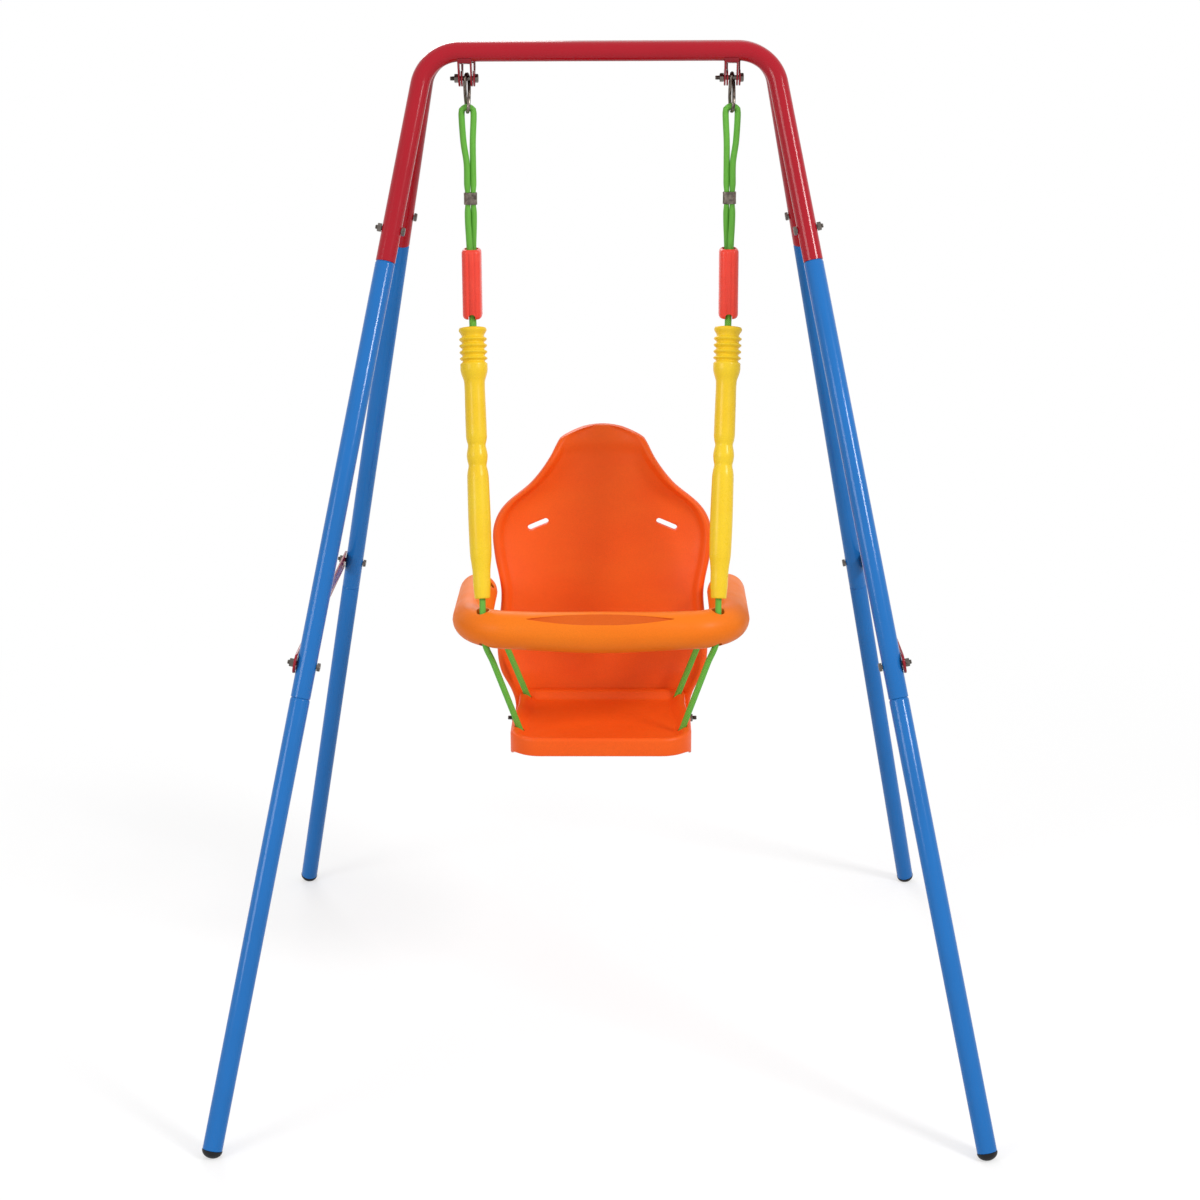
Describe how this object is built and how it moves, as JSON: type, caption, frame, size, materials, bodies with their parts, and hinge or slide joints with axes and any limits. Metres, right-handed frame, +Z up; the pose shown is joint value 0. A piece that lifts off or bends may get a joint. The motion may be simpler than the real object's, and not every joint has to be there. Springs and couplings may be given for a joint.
{
  "type": "baby swing set",
  "caption": "Folding A-frame of bent tube with a high-backed toddler seat, safety hoop and hand grips on two looped ropes.",
  "frame": {"origin": "on the floor, below the middle of the two bars", "axes": "+Z up, -Y to the front where the child faces, +X to the right seen from the front"},
  "size_m": [0.9654, 0.9046, 1.3042],
  "materials": {
    "red_paint": "gloss",
    "blue_paint": "gloss",
    "zinc_steel": "satin",
    "dark_steel": "satin",
    "black_plastic": "matte",
    "orange_plastic": "satin",
    "yellow_plastic": "satin",
    "red_plastic": "gloss",
    "green_rope": "matte"
  },
  "bodies": {
    "front_frame": {"front_top_tube": "red_paint", "hinge_bolt_left": "zinc_steel", "hinge_bolt_right": "zinc_steel", "hinge_nut_left": "zinc_steel", "hinge_nut_right": "zinc_steel", "upper_leg_front_left": "blue_paint", "lower_leg_front_left": "blue_paint", "foot_cap_front_left": "black_plastic", "hinge_bracket_front_left": "red_paint", "joint_bolt_front_left": "zinc_steel", "joint_nut_front_left": "zinc_steel", "brace_bolt_front_left": "zinc_steel", "brace_nut_front_left": "zinc_steel", "upper_leg_front_right": "blue_paint", "lower_leg_front_right": "blue_paint", "foot_cap_front_right": "black_plastic", "hinge_bracket_front_right": "red_paint", "joint_bolt_front_right": "zinc_steel", "joint_nut_front_right": "zinc_steel", "brace_bolt_front_right": "zinc_steel", "brace_nut_front_right": "zinc_steel"},
    "rear_frame": {"rear_top_tube": "red_paint", "upper_leg_rear_left": "blue_paint", "lower_leg_rear_left": "blue_paint", "foot_cap_rear_left": "black_plastic", "hinge_bracket_rear_left": "red_paint", "joint_bolt_rear_left": "zinc_steel", "joint_nut_rear_left": "zinc_steel", "brace_bolt_rear_left": "zinc_steel", "brace_nut_rear_left": "zinc_steel", "upper_leg_rear_right": "blue_paint", "lower_leg_rear_right": "blue_paint", "foot_cap_rear_right": "black_plastic", "hinge_bracket_rear_right": "red_paint", "joint_bolt_rear_right": "zinc_steel", "joint_nut_rear_right": "zinc_steel", "brace_bolt_rear_right": "zinc_steel", "brace_nut_rear_right": "zinc_steel"},
    "brace_left": {"brace_left": "red_paint"},
    "brace_right": {"brace_right": "red_paint"},
    "swing": {"link_left": "dark_steel", "rope_left": "green_rope", "crimp_left": "dark_steel", "seat_bolt_left": "zinc_steel", "seat_nut_left": "zinc_steel", "link_right": "dark_steel", "rope_right": "green_rope", "crimp_right": "dark_steel", "seat_bolt_right": "zinc_steel", "seat_nut_right": "zinc_steel", "seat": "orange_plastic", "backrest": "orange_plastic"},
    "guard": {"guard": "orange_plastic"},
    "handle_left": {"handle_left": "yellow_plastic"},
    "handle_right": {"handle_right": "yellow_plastic"},
    "adjuster_left": {"adjuster_left": "red_plastic"},
    "adjuster_right": {"adjuster_right": "red_plastic"}
  },
  "joints": [
    {"name": "frame_fold", "type": "hinge", "parent": "front_frame", "child": "rear_frame", "pos_m": [0, 0, 1.259], "axis": [-1, 0, 0], "range_deg": [0, 36.8]},
    {"name": "brace_left_pivot", "type": "hinge", "parent": "rear_frame", "child": "brace_left", "pos_m": [-0.35885, 0.25387, 0.56823], "axis": [-0.9808, 0, 0.1949], "range_deg": [0, 71.94]},
    {"name": "brace_right_pivot", "type": "hinge", "parent": "rear_frame", "child": "brace_right", "pos_m": [0.35885, 0.25387, 0.56823], "axis": [-0.9808, 0, -0.1949], "range_deg": [0, 71.94]},
    {"name": "swing", "type": "hinge", "parent": "front_frame", "child": "swing", "pos_m": [0, 0, 1.259], "axis": [1, 0, 0], "range_deg": [-40, 40]},
    {"name": "guard_lift", "type": "slide", "parent": "swing", "child": "guard", "axis": [0, 0.0944, 0.9955], "range_m": [0, 0.01]},
    {"name": "handle_left_slide", "type": "slide", "parent": "swing", "child": "handle_left", "axis": [-0.0362, 0.271, 0.9619], "range_m": [-0.01, 0.006]},
    {"name": "handle_right_slide", "type": "slide", "parent": "swing", "child": "handle_right", "axis": [0.0362, 0.271, 0.9619], "range_m": [-0.01, 0.006]},
    {"name": "adjuster_left_slide", "type": "slide", "parent": "swing", "child": "adjuster_left", "axis": [0, 0, 1], "range_m": [0, 0.05]},
    {"name": "adjuster_right_slide", "type": "slide", "parent": "swing", "child": "adjuster_right", "axis": [0, 0, 1], "range_m": [0, 0.05]}
  ],
  "couplings": [
    {"joint": "brace_left_pivot", "follows": "frame_fold", "ratio": 1.9546},
    {"joint": "brace_right_pivot", "follows": "frame_fold", "ratio": 1.9546}
  ]
}
